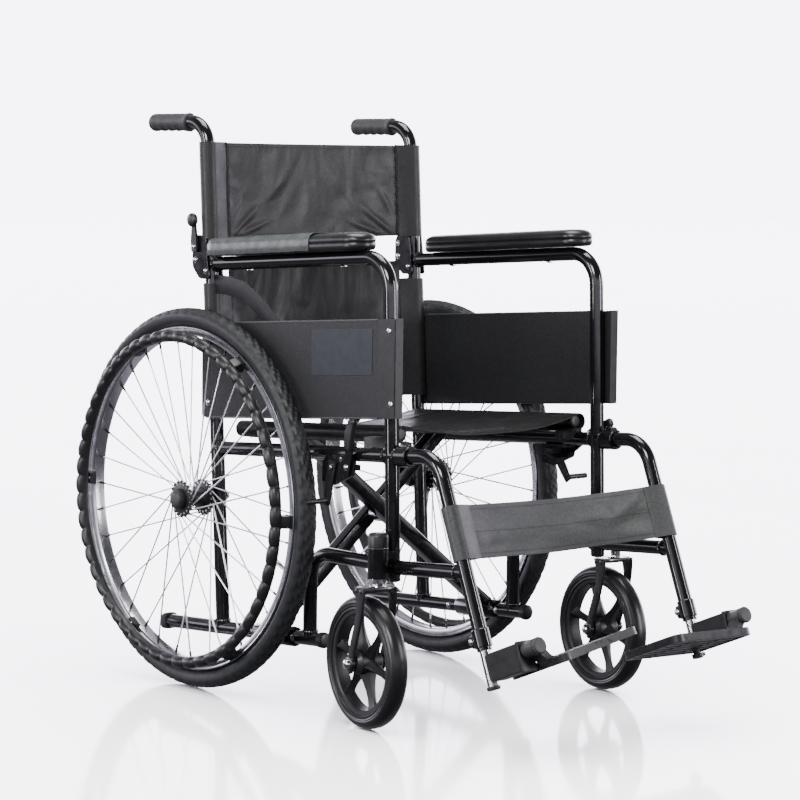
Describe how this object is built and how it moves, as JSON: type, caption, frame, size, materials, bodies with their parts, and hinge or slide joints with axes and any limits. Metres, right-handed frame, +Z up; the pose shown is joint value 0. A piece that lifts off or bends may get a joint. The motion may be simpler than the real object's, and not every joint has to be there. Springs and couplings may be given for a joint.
{
  "type": "manual wheelchair",
  "caption": "Folding manual wheelchair with a cross-brace frame, large spoked rear wheels with handrims, front casters, padded armrests, push handles, brakes and flip-up footplates.",
  "frame": {"origin": "on the floor, under the middle of the chair's overall box", "axes": "+Z up, the chair faces -Y, its left side is at +X"},
  "size_m": [0.598, 1.1007, 0.9217],
  "materials": {
    "frame_paint": "glossy black powder coat",
    "fork_paint": "satin black",
    "black_rubber": "matt",
    "armrest_vinyl": "padded black vinyl, soft gloss",
    "panel_plastic": "speckled dark grey",
    "grey_plastic": "speckled grey",
    "chrome_plate": "bright plated",
    "black_plastic": "satin moulded",
    "tyre_rubber": "matt with tread",
    "rim_alloy": "satin silver",
    "handrim_plastic": "satin black",
    "wheel_plastic": "satin black",
    "caster_rubber": "soft gloss",
    "grip_rubber": "matt",
    "footplate_plastic": "satin moulded",
    "back_fabric": "coated woven nylon",
    "seat_fabric": "coated woven nylon",
    "strap_fabric": "coated woven nylon"
  },
  "bodies": {
    "right_frame": {"side_frame_right": "frame_paint", "rail_tip_right": "black_rubber", "armrest_pad_right": "armrest_vinyl", "side_panel_right": "panel_plastic", "seat_saddle_right": "grey_plastic", "axle_right": "chrome_plate", "caster_cap_right": "black_plastic", "hanger_right": "frame_paint", "hanger_clamp_right": "frame_paint", "brake_bracket_right": "frame_paint", "back_lower": "back_fabric", "calf_strap": "strap_fabric"},
    "wheel_right": {"tyre_right": "tyre_rubber", "rim_right": "rim_alloy", "wheel_hub_right": "chrome_plate", "handrim_right": "handrim_plastic"},
    "caster_fork_right": {"caster_fork_right": "fork_paint", "caster_axle_right": "chrome_plate"},
    "caster_wheel_right": {"caster_wheel_right": "wheel_plastic", "caster_tyre_right": "caster_rubber"},
    "back_cane_right": {"back_cane_right": "frame_paint", "grip_right": "grip_rubber", "back_upper": "back_fabric"},
    "back_latch_right": {"back_latch_right": "black_plastic"},
    "brake_lever_right": {"brake_lever_right": "black_plastic"},
    "brake_shoe_right": {"brake_shoe_right": "chrome_plate"},
    "footrest_right": {"footrest_stem_right": "chrome_plate", "footrest_block_right": "black_plastic"},
    "footplate_right": {"footplate_right": "footplate_plastic"},
    "left_frame": {"side_frame_left": "frame_paint", "rail_tip_left": "black_rubber", "armrest_pad_left": "armrest_vinyl", "side_panel_left": "panel_plastic", "seat_saddle_left": "grey_plastic", "axle_left": "chrome_plate", "caster_cap_left": "black_plastic", "hanger_left": "frame_paint", "hanger_clamp_left": "frame_paint", "brake_bracket_left": "frame_paint"},
    "wheel_left": {"tyre_left": "tyre_rubber", "rim_left": "rim_alloy", "wheel_hub_left": "chrome_plate", "handrim_left": "handrim_plastic"},
    "caster_fork_left": {"caster_fork_left": "fork_paint", "caster_axle_left": "chrome_plate"},
    "caster_wheel_left": {"caster_wheel_left": "wheel_plastic", "caster_tyre_left": "caster_rubber"},
    "back_cane_left": {"back_cane_left": "frame_paint", "grip_left": "grip_rubber"},
    "back_latch_left": {"back_latch_left": "black_plastic"},
    "brake_lever_left": {"brake_lever_left": "black_plastic"},
    "brake_shoe_left": {"brake_shoe_left": "chrome_plate"},
    "footrest_left": {"footrest_stem_left": "chrome_plate", "footrest_block_left": "black_plastic"},
    "footplate_left": {"footplate_left": "footplate_plastic"},
    "brace_rear": {"cross_brace_rear": "frame_paint", "brace_pivot_bolt": "chrome_plate", "seat": "seat_fabric"},
    "brace_front": {"cross_brace_front": "frame_paint"}
  },
  "joints": [
    {"name": "frame_fold", "type": "hinge", "parent": "right_frame", "child": "brace_rear", "pos_m": [-0.215, 0.07535, 0.1031], "axis": [0, -0.9983, 0.0584], "range_deg": [0, 31.2], "deforming": ["seat", "back_lower", "back_upper", "calf_strap"]},
    {"name": "brace_pivot", "type": "hinge", "parent": "brace_rear", "child": "brace_front", "pos_m": [0, 0.08544, 0.2755], "axis": [0, -0.9983, 0.0584], "range_deg": [-62.4, 0]},
    {"name": "left_frame_pivot", "type": "hinge", "parent": "brace_front", "child": "left_frame", "pos_m": [0.215, 0.07535, 0.1031], "axis": [0, -0.9983, 0.0584], "range_deg": [0, 31.2]},
    {"name": "wheel_spin_right", "type": "hinge", "parent": "right_frame", "child": "wheel_right", "pos_m": [-0.256, 0.24535, 0.305], "axis": [1, 0, 0], "continuous": true},
    {"name": "caster_swivel_right", "type": "hinge", "parent": "right_frame", "child": "caster_fork_right", "pos_m": [-0.25, -0.20755, 0.211], "axis": [0, 0, 1], "continuous": true},
    {"name": "caster_spin_right", "type": "hinge", "parent": "caster_fork_right", "child": "caster_wheel_right", "pos_m": [-0.24546, -0.1779, 0.1], "axis": [0.9885, -0.1514, 0], "continuous": true},
    {"name": "back_fold_right", "type": "hinge", "parent": "right_frame", "child": "back_cane_right", "pos_m": [-0.215, 0.27535, 0.685], "axis": [-1, 0, 0], "range_deg": [0, 100]},
    {"name": "back_latch_pull_right", "type": "hinge", "parent": "back_cane_right", "child": "back_latch_right", "pos_m": [-0.2355, 0.27135, 0.706], "axis": [-1, 0, 0], "range_deg": [0, 28], "stiffness_Nm_per_rad": 0.3},
    {"name": "brake_lever_swing_right", "type": "hinge", "parent": "right_frame", "child": "brake_lever_right", "pos_m": [-0.2334, -0.11465, 0.386], "axis": [1, 0, 0], "range_deg": [0, 47]},
    {"name": "brake_shoe_swing_right", "type": "hinge", "parent": "right_frame", "child": "brake_shoe_right", "pos_m": [-0.2334, -0.07965, 0.383], "axis": [1, 0, 0], "range_deg": [-46.06, 0]},
    {"name": "footrest_height_right", "type": "slide", "parent": "right_frame", "child": "footrest_right", "axis": [0, -0.3658, -0.9307], "range_m": [0, 0.04]},
    {"name": "footplate_flip_right", "type": "hinge", "parent": "footrest_right", "child": "footplate_right", "pos_m": [-0.215, -0.42173, 0.13199], "axis": [0, -0.9272, 0.3746], "range_deg": [0, 78]},
    {"name": "wheel_spin_left", "type": "hinge", "parent": "left_frame", "child": "wheel_left", "pos_m": [0.256, 0.24535, 0.305], "axis": [1, 0, 0], "continuous": true},
    {"name": "caster_swivel_left", "type": "hinge", "parent": "left_frame", "child": "caster_fork_left", "pos_m": [0.25, -0.20755, 0.211], "axis": [0, 0, 1], "continuous": true},
    {"name": "caster_spin_left", "type": "hinge", "parent": "caster_fork_left", "child": "caster_wheel_left", "pos_m": [0.2532, -0.17772, 0.1], "axis": [0.9943, -0.1068, 0], "continuous": true},
    {"name": "back_fold_left", "type": "hinge", "parent": "left_frame", "child": "back_cane_left", "pos_m": [0.215, 0.27535, 0.685], "axis": [-1, 0, 0], "range_deg": [0, 100]},
    {"name": "back_latch_pull_left", "type": "hinge", "parent": "back_cane_left", "child": "back_latch_left", "pos_m": [0.2355, 0.27135, 0.706], "axis": [-1, 0, 0], "range_deg": [0, 28], "stiffness_Nm_per_rad": 0.3},
    {"name": "brake_lever_swing_left", "type": "hinge", "parent": "left_frame", "child": "brake_lever_left", "pos_m": [0.2334, -0.11465, 0.386], "axis": [1, 0, 0], "range_deg": [-47, 0]},
    {"name": "brake_shoe_swing_left", "type": "hinge", "parent": "left_frame", "child": "brake_shoe_left", "pos_m": [0.2334, -0.07965, 0.383], "axis": [1, 0, 0], "range_deg": [0, 46.06]},
    {"name": "footrest_height_left", "type": "slide", "parent": "left_frame", "child": "footrest_left", "axis": [0, -0.3658, -0.9307], "range_m": [0, 0.04]},
    {"name": "footplate_flip_left", "type": "hinge", "parent": "footrest_left", "child": "footplate_left", "pos_m": [0.215, -0.42173, 0.13199], "axis": [0, -0.9272, 0.3746], "range_deg": [-78, 0]}
  ],
  "couplings": [
    {"joint": "brace_pivot", "follows": "frame_fold", "ratio": -2},
    {"joint": "left_frame_pivot", "follows": "frame_fold", "ratio": 1},
    {"joint": "brake_shoe_swing_right", "follows": "brake_lever_swing_right", "ratio": -0.98},
    {"joint": "footplate_flip_right", "follows": "frame_fold", "ratio": 2.5},
    {"joint": "brake_shoe_swing_left", "follows": "brake_lever_swing_left", "ratio": -0.98},
    {"joint": "footplate_flip_left", "follows": "frame_fold", "ratio": -2.5},
    {"joint": "back_fold_left", "follows": "back_fold_right", "ratio": 1}
  ]
}
